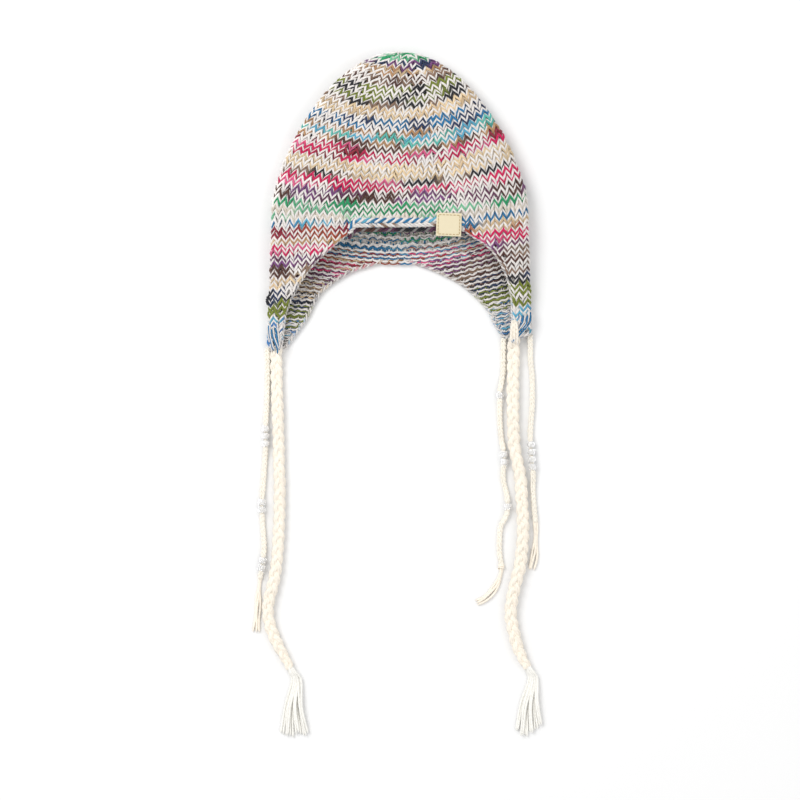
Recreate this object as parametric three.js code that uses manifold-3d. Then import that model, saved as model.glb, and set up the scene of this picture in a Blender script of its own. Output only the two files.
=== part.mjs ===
// A hand-knitted aviator hat that lies on its back, front wall up, with its ties stretched out.
// Millimetres. The top of the crown points along +Y, the ties run along -Y, and +Z is up from the floor.
// Angles run round the knitted tube: 0 at the front, 90 degrees at the right fold, 180 at the back.
// Rows count upwards from the front rim, and rows below it are negative.
import * as THREE from 'three';
import { mergeVertices } from 'three/addons/utils/BufferGeometryUtils.js';
import Module from 'manifold-3d';

const wasm = await Module();
wasm.setup();

// Knitted wall
const KNIT = 5;
const ROW_HEIGHT = 5.2;
const CROWN_ROWS = 32;
const FLAP_ROWS = 21.6;
const BACK_ROWS = 2;
const BACK_ROWS_FROM = THREE.MathUtils.degToRad(90);
const BACK_ROWS_FULL_AT = THREE.MathUtils.degToRad(162);
const SEAM_GAP = 0.4;

// Outline seen from above
const CROWN_TOP = 136.3;
const HALF_WIDTH = 113.2;
const NOSE_LENGTH = 141;
const NOSE_POWER = 1.41;
const FLARE = 0.035;
const TOP_ROUNDING = 6;

// How the rows hang between the two side folds
const ROW_SAG = 20.5;
const SAG_START = 28;
const FRONT_FLATTENS_FROM = 95;
const RIM_SAG = 4.1;
const BACK_DROPS_FROM = 60;
const BACK_RIM_SAG = 29;
const TIP_SAG = 4;
const ROW_TILT = 6.5;
const TILT_START = 50;

// Heights of the two layers
const FRONT_RISE = 16;
const BACK_DROP = 12;
const TIP_RISE = 4.2;
const FOLD_BEND = 4;
const PUFF = 0.15;

// Fineness of the surface: columns stand closer together near the side folds
const FOLD_CROWDING = 1.35;
const CROWN_QUARTER_COLUMNS = 12;
const CROWN_LEVELS = 18;
const TOP_CROWDING = 1.4;
const FLAP_FRONT_COLUMNS = 8;
const FLAP_BACK_COLUMNS = 13;
const FLAP_LEVELS = 13;

// Rolled front rim, on the stretch between the ear flaps
const RIM_ROLL = 1.6;
const RIM_ROLL_ROWS = 1.8;
const RIM_ROLL_FADE = 0.12;

// Each flap from the crown down to its tip. Depth is a share of the flap's rows, and the others say
// how far its front and back layers reach in from the side fold, as shares of the hat's half width.
const FLAP_SECTIONS = [
  { depth: 0.00, leftFront: 0.63, leftBack: 0.88, rightFront: 0.53, rightBack: 0.95 },
  { depth: 0.06, leftFront: 0.60, leftBack: 0.77, rightFront: 0.50, rightBack: 0.84 },
  { depth: 0.13, leftFront: 0.52, leftBack: 0.65, rightFront: 0.42, rightBack: 0.74 },
  { depth: 0.20, leftFront: 0.44, leftBack: 0.57, rightFront: 0.33, rightBack: 0.66 },
  { depth: 0.30, leftFront: 0.34, leftBack: 0.48, rightFront: 0.25, rightBack: 0.56 },
  { depth: 0.42, leftFront: 0.25, leftBack: 0.39, rightFront: 0.19, rightBack: 0.47 },
  { depth: 0.55, leftFront: 0.18, leftBack: 0.33, rightFront: 0.15, rightBack: 0.39 },
  { depth: 0.70, leftFront: 0.12, leftBack: 0.28, rightFront: 0.13, rightBack: 0.31 },
  { depth: 0.86, leftFront: 0.10, leftBack: 0.20, rightFront: 0.13, rightBack: 0.26 },
  { depth: 1.00, leftFront: 0.09, leftBack: 0.12, rightFront: 0.11, rightBack: 0.20 },
];

// Label, sewn over the front rim right of the middle
const LABEL_WIDTH = 23.5;
const LABEL_HEIGHT = 21.6;
const LABEL_THICKNESS = 0.8;
const LABEL_X = 45.5;
const LABEL_DROP = 2;
const LABEL_TURN = THREE.MathUtils.degToRad(-2);

// Plaited ties, beaded cords and beads
const LEFT_TIE_DIAMETER = 12;
const RIGHT_TIE_DIAMETER = 12.6;
const CORD_DIAMETER = 4.2;
const BEAD_DIAMETER = 7.4;
const BEAD_LENGTH = 6.6;
const BEAD_BORE_CLEARANCE = 0.4;
const BEAD_ROUNDING = 1.6;
const BEAD_CHAMFER = 0.9;
const PIECE_GAP = 0.3;

// Fineness of the round pieces: sides of their sections, and the step along a cord in diameters
const TIE_SIDES = 10;
const CORD_SIDES = 8;
const CORD_STEP = 2;
const BEAD_SIDES = 12;
const TASSEL_HEAD_SIDES = 10;
const LOCK_SIDES = 6;
const LOCK_STEPS = 5;

// Tassels
const TASSEL_LENGTH = 62;
const TASSEL_HEAD_DIAMETER = 10;
const TASSEL_HEAD_LENGTH = 8;
const TASSEL_TURN = 0.02;
const LOCK_DIAMETER = 5;
const LOCK_END_DIAMETER = 3;
const FLOOR_GAP = 0.5;

// Profile of a tassel's head from the tie down, as shares of its radius and length
const TASSEL_HEAD_PROFILE = [
  { along: -0.5, out: 0.00 }, { along: -0.5, out: 0.75 }, { along: 0.0, out: 1.00 },
  { along: 0.5, out: 0.85 }, { along: 0.5, out: 0.00 },
];

// How a lock leaves the head and settles on the floor: how far along it and how much of its spread
// is reached, and how much of the height of the lock beneath is kept
const LOCK_COURSE = [
  { along: 0.12, spread: 0.25, lift: 0.50 }, { along: 0.55, spread: 0.60, lift: 1.00 },
  { along: 1.00, spread: 1.00, lift: 0.40 },
];
const LOCK_LAYER = 3;

// Routes of the ties and cords, from the flap tip to the free end: x, y and z of each point
const LEFT_TIE_ROUTE = [
  [-116.5, -139.1, 6.5], [-116.3, -160, 6.1], [-115.6, -188, 6.1], [-114.8, -216, 6.1],
  [-114.2, -245, 6.1], [-113.4, -273, 6.1], [-113.6, -298, 6.1], [-114.6, -322, 6.1],
  [-116.4, -344, 6.1], [-119.6, -362, 6.1], [-123.4, -377, 6.1], [-124.6, -388, 6.1],
  [-122.4, -401, 6.1], [-116.2, -417, 6.1], [-108.6, -431, 6.1], [-103.4, -441, 6.1],
];
const RIGHT_TIE_ROUTE = [
  [107.4, -129.9, 6.9], [107.0, -150, 6.4], [106.6, -170, 6.4], [106.4, -192, 6.4],
  [106.6, -213, 6.4], [107.8, -232, 6.4], [111.0, -249, 6.4], [113.8, -265, 6.4],
  [114.8, -284, 6.4], [116.0, -302, 6.4], [115.6, -322, 6.4], [113.4, -343, 6.4],
  [109.0, -361, 6.4], [105.0, -379, 6.4], [104.4, -392, 6.4], [106.8, -406, 6.4],
  [110.6, -420, 6.4], [116.4, -434, 6.4], [120.2, -440.5, 6.4],
];
const LEFT_CORD_ROUTE = [
  [-125, -139.2, 3.6], [-125, -149, 2.3], [-125, -170, 2.15], [-125.2, -190, 2.15],
  [-126, -202, 2.4], [-126.6, -209, 3.5], [-126.8, -215, 3.78], [-126.8, -229.5, 3.78],
  [-127, -236, 3.4], [-127.2, -243, 2.3], [-128.4, -262, 2.15], [-129.8, -275, 2.6],
  [-130.4, -284, 3.78], [-130.4, -292, 3.78], [-129.8, -302, 2.6], [-128.6, -315, 2.15],
  [-128.2, -328, 2.6], [-129.4, -339, 3.78], [-130.6, -347, 3.78], [-132.2, -357, 2.6],
  [-133.4, -372, 2.15], [-134.6, -390, 2.15], [-135.8, -408, 2.15],
];
const INNER_CORD_ROUTE = [
  [97.6, -130.4, 3.4], [97.2, -143, 2.2], [97.2, -160, 2.15], [96, -172, 2.6],
  [94.4, -180, 3.75], [94.2, -187.5, 3.78], [94, -198, 2.5], [94.2, -212, 2.15],
  [95.6, -226, 2.4], [97.4, -234, 3.6], [98.2, -239, 3.78], [98.2, -248.5, 3.78],
  [97.2, -256, 2.9], [97.6, -266, 2.2], [99.8, -275, 2.4], [101.1, -282.5, 3.7],
  [101.3, -293.5, 3.78], [99.2, -300, 2.9], [95.4, -307, 2.15], [93.8, -320, 2.15],
  [93.8, -334, 2.15], [95.6, -346, 2.15], [93.4, -358, 2.15], [87.4, -368.5, 2.15],
  [79.8, -376, 2.15], [71.6, -380, 2.15],
];
const OUTER_CORD_ROUTE = [
  [122.6, -126.9, 4.6], [122.8, -138, 2.6], [123, -152, 2.15], [124.6, -164, 2.15],
  [125.2, -176, 2.15], [124.8, -192, 2.15], [123.4, -208, 2.15], [122.8, -219, 2.6],
  [123, -226, 3.6], [123.4, -231, 3.78], [124.4, -246, 3.78], [125.2, -254, 3.7],
  [125.6, -261, 2.9], [125.2, -272, 2.2], [126.4, -288, 2.15], [127.8, -302, 2.15],
  [128, -318, 2.15], [127, -334, 2.15], [123.8, -349, 2.15],
];

// Where the middle of each bead lies along its cord, measured from the flap
const LEFT_CORD_BEADS = [76.4, 83.4, 90.4, 146, 153, 201.4, 208.4];
const INNER_CORD_BEADS = [54.1, 110.1, 117.1, 160.1];
const OUTER_CORD_BEADS = [104, 111, 118, 125];

// Locks of each tassel: how far each ends to the side and short of the full length, as shares of it
const LEFT_LOCKS = [
  { side: -0.18, short: 0.04 }, { side: -0.10, short: 0.02 }, { side: -0.03, short: 0.00 },
  { side: 0.05, short: 0.05 }, { side: 0.13, short: 0.01 }, { side: 0.20, short: 0.03 },
];
const RIGHT_LOCKS = [
  { side: -0.22, short: 0.10 }, { side: -0.15, short: 0.02 }, { side: -0.08, short: 0.00 },
  { side: 0.00, short: 0.06 }, { side: 0.08, short: 0.10 }, { side: 0.15, short: 0.16 },
];

const COLOURS = {
  knit: 0xb9a9a4, flap: 0xa08f92, label: 0xf1e8d2, wool: 0xf0e8d8, bead: 0xf4f7f8,
};

// Smooth step from 0 to 1 between two values
function ease(value, low, high) {
  return THREE.MathUtils.smoothstep(value, low, high);
}

// Half width of the outline at a distance below the top of the crown
function halfWidth(distance) {
  const ahead = Math.max(0, 1 - distance / NOSE_LENGTH);
  return HALF_WIDTH * Math.sqrt(1 - ahead ** NOSE_POWER) + FLARE * distance;
}

// Height of a sheet that bends up from its fold with the fold's radius until it reaches its full height
function bentHeight(height, distance) {
  if (height < 1e-6) {
    return 0;
  }
  const ahead = Math.max(0, 1 - distance * FOLD_BEND / (height * height));
  return height * Math.sqrt(1 - ahead * ahead);
}

// What one row does: how far its ends lie below the top, and how it sags, tilts and rises
function rowShape(row) {
  const run = ROW_HEIGHT * (CROWN_ROWS - row);
  const front = run * run / (run + TOP_ROUNDING);
  const rimRun = ROW_HEIGHT * CROWN_ROWS;
  const rim = rimRun * rimRun / (rimRun + TOP_ROUNDING);
  const depth = Math.max(0, -row / FLAP_ROWS);
  const start = front * front / (front * front + SAG_START * SAG_START);
  const past = (front - FRONT_FLATTENS_FROM) / (rim - FRONT_FLATTENS_FROM);
  const flattened = THREE.MathUtils.clamp(past, 0, 1);
  const frontSag = start * THREE.MathUtils.lerp(ROW_SAG, RIM_SAG, flattened * flattened);
  const backSag = start * THREE.MathUtils.lerp(ROW_SAG, BACK_RIM_SAG, ease(front, BACK_DROPS_FROM, rim));
  const taper = ease(depth, 0, 1);
  return {
    below: front - frontSag,
    frontSag,
    backSag: THREE.MathUtils.lerp(backSag, TIP_SAG, Math.min(depth, 1)),
    tilt: ROW_TILT * front * front / (front * front + TILT_START * TILT_START),
    rise: THREE.MathUtils.lerp(FRONT_RISE, TIP_RISE, taper),
    drop: THREE.MathUtils.lerp(BACK_DROP, TIP_RISE, taper),
  };
}

// A point in the middle of the knitted wall
function wallPoint(angle, row) {
  const shape = rowShape(row);
  const side = Math.sin(angle);
  const facing = Math.cos(angle);
  const below = Math.max(0, shape.below - shape.tilt * side * Math.abs(side));
  const width = halfWidth(below);
  const inward = width * (1 - Math.abs(side));
  const fold = KNIT / 2 + shape.drop;
  let z;
  if (facing >= 0) {
    const rise = bentHeight(shape.rise, below);
    const dome = 1 - (1 - inward / Math.max(width, 1e-6)) ** 2;
    z = fold + (1 - PUFF) * bentHeight(rise, inward) + PUFF * rise * dome;
  } else {
    z = fold - bentHeight(bentHeight(shape.drop, below), inward);
  }
  const sag = facing >= 0 ? shape.frontSag : shape.backSag;
  return new THREE.Vector3(width * side, CROWN_TOP - below - sag * facing * facing, z);
}

// Outward direction of the wall
function wallNormal(angle, row) {
  if (row >= CROWN_ROWS) {
    return new THREE.Vector3(0, 1, 0);
  }
  const step = 1e-3;
  const around = wallPoint(angle + step, row).sub(wallPoint(angle - step, row));
  const upward = wallPoint(angle, row + step).sub(wallPoint(angle, row - step));
  return around.cross(upward).normalize();
}

// A point at a distance outside the middle of the wall, or inside it where the distance is negative
function offsetPoint(angle, row, distance) {
  const point = wallPoint(angle, row).addScaledVector(wallNormal(angle, row), distance);
  point.z = Math.max(point.z, 0);
  return point;
}

// Share of one column of the flap table at a depth, on a smooth curve through the table's rows
function flapShare(column, depth) {
  const last = FLAP_SECTIONS.length - 1;
  const next = Math.max(1, FLAP_SECTIONS.findIndex((section) => section.depth >= depth));
  const slope = (index) => {
    const [a, b] = [FLAP_SECTIONS[Math.max(0, index - 1)], FLAP_SECTIONS[Math.min(last, index + 1)]];
    return (b[column] - a[column]) / (b.depth - a.depth);
  };
  const [a, b] = [FLAP_SECTIONS[next - 1], FLAP_SECTIONS[next]];
  const span = b.depth - a.depth;
  const t = (depth - a.depth) / span;
  const u = 1 - t;
  return u * u * (1 + 2 * t) * a[column] + t * t * (1 + 2 * u) * b[column]
    + span * t * u * (u * slope(next - 1) - t * slope(next));
}

// Angle between the side fold and a point that lies a share of the half width in from it
function angleFromFold(share) {
  return Math.acos(1 - share);
}

// Lowest row of the crown: the front rim, and a few rows lower at the back
function crownEdgeRow(angle) {
  const fromFront = Math.acos(Math.cos(angle));
  return -BACK_ROWS * ease(fromFront, BACK_ROWS_FROM, BACK_ROWS_FULL_AT);
}

// Extra thickness of the rolled front rim
function rimRoll(angle, row) {
  if (Math.cos(angle) <= 0) {
    return 0;
  }
  const side = Math.sin(angle);
  const { leftFront, rightFront } = FLAP_SECTIONS[0];
  const left = ease(side, leftFront - 1, leftFront - 1 + RIM_ROLL_FADE);
  const right = ease(-side, rightFront - 1, rightFront - 1 + RIM_ROLL_FADE);
  return RIM_ROLL * left * right * Math.max(0, 1 - (row / RIM_ROLL_ROWS) ** 2);
}

function makeMesh(name, geometry, colour, roughness = 0.9) {
  const material = new THREE.MeshStandardMaterial({ color: colour, roughness, metalness: 0 });
  const mesh = new THREE.Mesh(geometry, material);
  mesh.name = name;
  return mesh;
}

function geometryFrom(points, triangles) {
  const geometry = new THREE.BufferGeometry();
  const numbers = points.flatMap((point) => [point.x, point.y, point.z]);
  geometry.setAttribute('position', new THREE.Float32BufferAttribute(numbers, 3));
  geometry.setIndex(triangles);
  return geometry;
}

// A thick sheet from a grid of places, each with an angle and a row. The grid's rows run upwards and its
// columns the way the angle grows. It may close round the tube, and close over the top in one point.
function thickSheet(places, outside, inside, { closed = false, top = null } = {}) {
  const points = [];
  const triangles = [];
  const rows = places.length;
  const columns = places[0].length;
  const across = closed ? columns : columns - 1;
  for (const line of places) {
    for (const place of line) {
      points.push(outside(place), inside(place));
    }
  }
  const at = (row, column, layer) => 2 * (row * columns + column % columns) + layer;
  const quad = (a, b, c, d) => triangles.push(a, b, c, a, c, d);
  for (let row = 0; row + 1 < rows; row += 1) {
    for (let column = 0; column < across; column += 1) {
      const corners = [[row, column], [row, column + 1], [row + 1, column + 1], [row + 1, column]];
      quad(...corners.map(([r, c]) => at(r, c, 0)));
      quad(...corners.map(([r, c]) => at(r, c, 1)).reverse());
    }
  }
  for (let column = 0; column < across; column += 1) {
    quad(at(0, column, 1), at(0, column + 1, 1), at(0, column + 1, 0), at(0, column, 0));
    if (top === null) {
      const last = rows - 1;
      quad(at(last, column, 0), at(last, column + 1, 0), at(last, column + 1, 1), at(last, column, 1));
    }
  }
  if (top !== null) {
    points.push(outside(top), inside(top));
    const [peakOutside, peakInside] = [points.length - 2, points.length - 1];
    for (let column = 0; column < across; column += 1) {
      triangles.push(at(rows - 1, column, 0), at(rows - 1, column + 1, 0), peakOutside);
      triangles.push(at(rows - 1, column + 1, 1), at(rows - 1, column, 1), peakInside);
    }
  }
  if (!closed) {
    for (let row = 0; row + 1 < rows; row += 1) {
      quad(at(row, 0, 0), at(row + 1, 0, 0), at(row + 1, 0, 1), at(row, 0, 1));
      const last = columns - 1;
      quad(at(row, last, 1), at(row + 1, last, 1), at(row + 1, last, 0), at(row, last, 0));
    }
  }
  return geometryFrom(points, triangles);
}

// Angles from a fold out to a reach on each side of it, closer together near the fold
function anglesRoundFold(fold, reachBefore, reachAfter, before, after) {
  const angles = [];
  for (let step = before; step > 0; step -= 1) {
    angles.push(fold - reachBefore * (step / before) ** FOLD_CROWDING);
  }
  for (let step = 0; step <= after; step += 1) {
    angles.push(fold + reachAfter * (step / after) ** FOLD_CROWDING);
  }
  return angles;
}

function makeCrown() {
  const quarter = CROWN_QUARTER_COLUMNS;
  const half = Math.PI / 2;
  const right = anglesRoundFold(half, half, half, quarter, quarter).slice(0, -1);
  const left = anglesRoundFold(3 * half, half, half, quarter, quarter).slice(0, -1);
  const angles = [...right, ...left];
  const places = [];
  for (let level = 0; level < CROWN_LEVELS; level += 1) {
    const share = 1 - (1 - level / CROWN_LEVELS) ** TOP_CROWDING;
    places.push(angles.map((angle) => {
      const edge = crownEdgeRow(angle);
      return { angle, row: edge + share * (CROWN_ROWS - edge) };
    }));
  }
  const outside = ({ angle, row }) => offsetPoint(angle, row, KNIT / 2 + rimRoll(angle, row));
  const inside = ({ angle, row }) => offsetPoint(angle, row, -KNIT / 2);
  const top = { angle: 0, row: CROWN_ROWS };
  return makeMesh('crown', thickSheet(places, outside, inside, { closed: true, top }), COLOURS.knit);
}

// side is 1 for the right flap and -1 for the left one
function makeFlap(name, side) {
  const [front, back] = side > 0 ? ['rightFront', 'rightBack'] : ['leftFront', 'leftBack'];
  const places = [];
  for (let level = FLAP_LEVELS; level >= 0; level -= 1) {
    const depth = level / FLAP_LEVELS;
    const frontReach = angleFromFold(flapShare(front, depth));
    const backReach = angleFromFold(flapShare(back, depth));
    const angles = side > 0
      ? anglesRoundFold(Math.PI / 2, frontReach, backReach, FLAP_FRONT_COLUMNS, FLAP_BACK_COLUMNS)
      : anglesRoundFold(-Math.PI / 2, backReach, frontReach, FLAP_BACK_COLUMNS, FLAP_FRONT_COLUMNS);
    places.push(angles.map((angle) => {
      const seam = crownEdgeRow(angle) - SEAM_GAP / ROW_HEIGHT;
      return { angle, row: THREE.MathUtils.lerp(seam, -FLAP_ROWS, depth) };
    }));
  }
  const outside = ({ angle, row }) => offsetPoint(angle, row, KNIT / 2);
  const inside = ({ angle, row }) => offsetPoint(angle, row, -KNIT / 2);
  return makeMesh(name, thickSheet(places, outside, inside), COLOURS.flap);
}

function makeLabel() {
  const row = -LABEL_DROP / ROW_HEIGHT;
  const angle = Math.asin(LABEL_X / halfWidth(rowShape(0).below));
  const normal = wallNormal(angle, row);
  const lift = KNIT / 2 + RIM_ROLL + PIECE_GAP + LABEL_THICKNESS / 2;
  const middle = wallPoint(angle, row).addScaledVector(normal, lift);
  const across = new THREE.Vector3(Math.cos(LABEL_TURN), Math.sin(LABEL_TURN), 0);
  across.addScaledVector(normal, -across.dot(normal)).normalize();
  const upward = normal.clone().cross(across);
  const cloth = new THREE.BoxGeometry(LABEL_WIDTH, LABEL_HEIGHT, LABEL_THICKNESS);
  const mesh = makeMesh('label', cloth, COLOURS.label);
  mesh.applyMatrix4(new THREE.Matrix4().makeBasis(across, upward, normal).setPosition(middle));
  return mesh;
}

function routeCurve(route) {
  const points = route.map((point) => new THREE.Vector3(...point));
  return new THREE.CatmullRomCurve3(points, false, 'centripetal');
}

function roundShape(radius, sides) {
  const corners = [];
  for (let corner = 0; corner < sides; corner += 1) {
    const angle = 2 * Math.PI * (corner + 0.5) / sides;
    corners.push(new THREE.Vector2(radius * Math.cos(angle), radius * Math.sin(angle)));
  }
  return new THREE.Shape(corners);
}

function makeTube(name, route, diameter, sides) {
  const curve = routeCurve(route);
  const steps = Math.ceil(curve.getLength() / (CORD_STEP * diameter));
  const geometry = new THREE.ExtrudeGeometry(roundShape(diameter / 2, sides), {
    steps, bevelEnabled: false, extrudePath: curve,
  });
  return makeMesh(name, geometry, COLOURS.wool);
}

// A drilled bead with rounded shoulders, turned about its own Z axis
function beadGeometry() {
  const bore = CORD_DIAMETER / 2 + BEAD_BORE_CLEARANCE;
  const radius = BEAD_DIAMETER / 2;
  const half = BEAD_LENGTH / 2;
  const profile = [
    [bore, -half], [radius - BEAD_CHAMFER, -half], [radius, -half + BEAD_ROUNDING],
    [radius, half - BEAD_ROUNDING], [radius - BEAD_CHAMFER, half], [bore, half], [bore, -half],
  ].map(([x, y]) => new THREE.Vector2(x, y));
  return new THREE.LatheGeometry(profile, BEAD_SIDES).rotateX(Math.PI / 2);
}

function makeBeads(prefix, route, places) {
  const curve = routeCurve(route);
  const length = curve.getLength();
  return places.map((place, index) => {
    const mesh = makeMesh(`${prefix}_bead_${index + 1}`, beadGeometry(), COLOURS.bead, 0.1);
    mesh.position.copy(curve.getPointAt(place / length));
    mesh.quaternion.setFromUnitVectors(new THREE.Vector3(0, 0, 1), curve.getTangentAt(place / length));
    return mesh;
  });
}

function solidFrom(geometry) {
  const bare = geometry.clone();
  bare.deleteAttribute('normal');
  bare.deleteAttribute('uv');
  const merged = mergeVertices(bare, 1e-3);
  return new wasm.Manifold(new wasm.Mesh({
    numProp: 3,
    vertProperties: new Float32Array(merged.attributes.position.array),
    triVerts: new Uint32Array(merged.index.array),
  }));
}

function geometryOf(solid) {
  const { vertProperties, triVerts } = solid.getMesh();
  const geometry = new THREE.BufferGeometry();
  geometry.setAttribute('position', new THREE.Float32BufferAttribute(Array.from(vertProperties), 3));
  geometry.setIndex(Array.from(triVerts));
  return geometry;
}

// A lock of yarn that narrows along its curve
function lockGeometry(curve) {
  const steps = LOCK_STEPS;
  const sides = LOCK_SIDES;
  const points = [];
  const triangles = [];
  const frames = curve.computeFrenetFrames(steps, false);
  for (let step = 0; step <= steps; step += 1) {
    const middle = curve.getPointAt(step / steps);
    const radius = THREE.MathUtils.lerp(LOCK_DIAMETER, LOCK_END_DIAMETER, step / steps) / 2;
    for (let side = 0; side < sides; side += 1) {
      const angle = 2 * Math.PI * side / sides;
      points.push(middle.clone()
        .addScaledVector(frames.normals[step], radius * Math.cos(angle))
        .addScaledVector(frames.binormals[step], radius * Math.sin(angle)));
    }
  }
  const at = (step, side) => step * sides + side % sides;
  for (let step = 0; step < steps; step += 1) {
    for (let side = 0; side < sides; side += 1) {
      triangles.push(at(step, side), at(step, side + 1), at(step + 1, side + 1));
      triangles.push(at(step, side), at(step + 1, side + 1), at(step + 1, side));
    }
  }
  for (let side = 1; side + 1 < sides; side += 1) {
    triangles.push(at(0, 0), at(0, side + 1), at(0, side));
    triangles.push(at(steps, 0), at(steps, side), at(steps, side + 1));
  }
  return geometryFrom(points, triangles);
}

// Locks that leave a round head at the end of a tie and lie on the floor
function makeTassel(name, tieRoute, locks) {
  const tie = routeCurve(tieRoute);
  const along = tie.getTangentAt(1);
  const down = new THREE.Vector3(Math.sin(TASSEL_TURN), -Math.cos(TASSEL_TURN), 0);
  const sideways = new THREE.Vector3(-down.y, down.x, 0);
  const headMiddle = tie.getPointAt(1).addScaledVector(along, PIECE_GAP + TASSEL_HEAD_LENGTH / 2);
  const profile = TASSEL_HEAD_PROFILE.map((ring) => new THREE.Vector2(
    ring.out * TASSEL_HEAD_DIAMETER / 2, ring.along * TASSEL_HEAD_LENGTH,
  ));
  const turned = new THREE.Quaternion().setFromUnitVectors(new THREE.Vector3(0, 1, 0), along);
  const head = new THREE.LatheGeometry(profile, TASSEL_HEAD_SIDES);
  let solid = solidFrom(head.applyQuaternion(turned).translate(...headMiddle));
  locks.forEach(({ side, short }, index) => {
    const reach = TASSEL_LENGTH * (1 - short);
    const layer = index % 2 === 0 ? 0 : LOCK_LAYER;
    const points = [headMiddle.clone()];
    for (const place of LOCK_COURSE) {
      const diameter = THREE.MathUtils.lerp(LOCK_DIAMETER, LOCK_END_DIAMETER, place.along);
      const direction = place === LOCK_COURSE[0] ? along : down;
      const point = headMiddle.clone()
        .addScaledVector(direction, place.along * reach)
        .addScaledVector(sideways, place.spread * side * TASSEL_LENGTH);
      point.z = diameter / 2 + FLOOR_GAP + place.lift * layer;
      points.push(point);
    }
    const course = new THREE.CatmullRomCurve3(points, false, 'centripetal');
    solid = solid.add(solidFrom(lockGeometry(course)));
  });
  return makeMesh(name, geometryOf(solid), COLOURS.wool);
}

const hat = new THREE.Group();
hat.name = 'knitted_aviator_hat';
hat.add(
  makeCrown(),
  makeFlap('left_ear_flap', -1),
  makeFlap('right_ear_flap', 1),
  makeLabel(),
  makeTube('left_tie', LEFT_TIE_ROUTE, LEFT_TIE_DIAMETER, TIE_SIDES),
  makeTube('right_tie', RIGHT_TIE_ROUTE, RIGHT_TIE_DIAMETER, TIE_SIDES),
  makeTube('left_beaded_cord', LEFT_CORD_ROUTE, CORD_DIAMETER, CORD_SIDES),
  makeTube('right_inner_cord', INNER_CORD_ROUTE, CORD_DIAMETER, CORD_SIDES),
  makeTube('right_outer_cord', OUTER_CORD_ROUTE, CORD_DIAMETER, CORD_SIDES),
  ...makeBeads('left', LEFT_CORD_ROUTE, LEFT_CORD_BEADS),
  ...makeBeads('right_inner', INNER_CORD_ROUTE, INNER_CORD_BEADS),
  ...makeBeads('right_outer', OUTER_CORD_ROUTE, OUTER_CORD_BEADS),
  makeTassel('left_tassel', LEFT_TIE_ROUTE, LEFT_LOCKS),
  makeTassel('right_tassel', RIGHT_TIE_ROUTE, RIGHT_LOCKS),
);

export default hat;
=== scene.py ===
"""Looks of the knitted aviator hat: stitches, plaits, beads, tassels and label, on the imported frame.

The knitted wall is worked out in millimetres on the same surface as the solids, and scaled to metres at
the end. Angles run round the tube: 0 at the front, 90 degrees at the right fold, 180 at the back. Rows
count upwards from the front rim.
"""
import math

import bpy
import numpy as np
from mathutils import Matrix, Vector


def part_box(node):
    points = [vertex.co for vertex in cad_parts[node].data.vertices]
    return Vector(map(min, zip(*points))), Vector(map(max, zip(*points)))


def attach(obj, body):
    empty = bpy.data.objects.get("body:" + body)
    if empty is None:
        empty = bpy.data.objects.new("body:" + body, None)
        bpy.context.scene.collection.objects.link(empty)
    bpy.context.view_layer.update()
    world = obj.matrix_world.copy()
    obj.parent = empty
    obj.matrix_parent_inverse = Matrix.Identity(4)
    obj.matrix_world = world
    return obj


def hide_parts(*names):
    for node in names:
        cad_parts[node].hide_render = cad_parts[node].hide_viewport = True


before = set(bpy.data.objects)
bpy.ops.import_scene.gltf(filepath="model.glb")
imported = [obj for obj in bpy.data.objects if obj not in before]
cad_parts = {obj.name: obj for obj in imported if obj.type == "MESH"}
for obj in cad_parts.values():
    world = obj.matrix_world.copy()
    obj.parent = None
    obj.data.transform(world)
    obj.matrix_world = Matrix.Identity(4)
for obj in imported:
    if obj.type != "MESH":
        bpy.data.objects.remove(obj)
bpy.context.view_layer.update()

MM = 0.001
TAU = 2 * math.pi
UP = np.array([0.0, 0.0, 1.0])
rng = np.random.default_rng(11)

# Photograph: its size in pixels, the hat's scale, and the pixel that shows the origin
PHOTO_PIXELS = 800
MM_PER_PIXEL = 0.94
ORIGIN_PIXEL = (400, 199.5)

# Knitted wall, as in the solids
KNIT = 5
ROW_HEIGHT = 5.2
CROWN_ROWS = 32
FLAP_ROWS = 21.6
BACK_ROWS = 2
BACK_ROWS_FROM = math.radians(90)
BACK_ROWS_FULL_AT = math.radians(162)
CROWN_TOP = 136.3
HALF_WIDTH = 113.2
NOSE_LENGTH = 141
NOSE_POWER = 1.41
FLARE = 0.035
TOP_ROUNDING = 6
ROW_SAG = 20.5
SAG_START = 28
FRONT_FLATTENS_FROM = 95
RIM_SAG = 4.1
BACK_DROPS_FROM = 60
BACK_RIM_SAG = 29
TIP_SAG = 4
ROW_TILT = 6.5
TILT_START = 50
FRONT_RISE = 16
BACK_DROP = 12
TIP_RISE = 4.2
FOLD_BEND = 4
PUFF = 0.15

# How far each flap's layers reach in from the fold, as shares of the half width, at shares of its depth
FLAP_DEPTHS = [0.00, 0.06, 0.13, 0.20, 0.30, 0.42, 0.55, 0.70, 0.86, 1.00]
FLAP_REACHES = {
    "left_front": [0.63, 0.60, 0.52, 0.44, 0.34, 0.25, 0.18, 0.12, 0.10, 0.09],
    "left_back": [0.88, 0.77, 0.65, 0.57, 0.48, 0.39, 0.33, 0.28, 0.20, 0.12],
    "right_front": [0.53, 0.50, 0.42, 0.33, 0.25, 0.19, 0.15, 0.13, 0.13, 0.11],
    "right_back": [0.95, 0.84, 0.74, 0.66, 0.56, 0.47, 0.39, 0.31, 0.26, 0.20],
}

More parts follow.
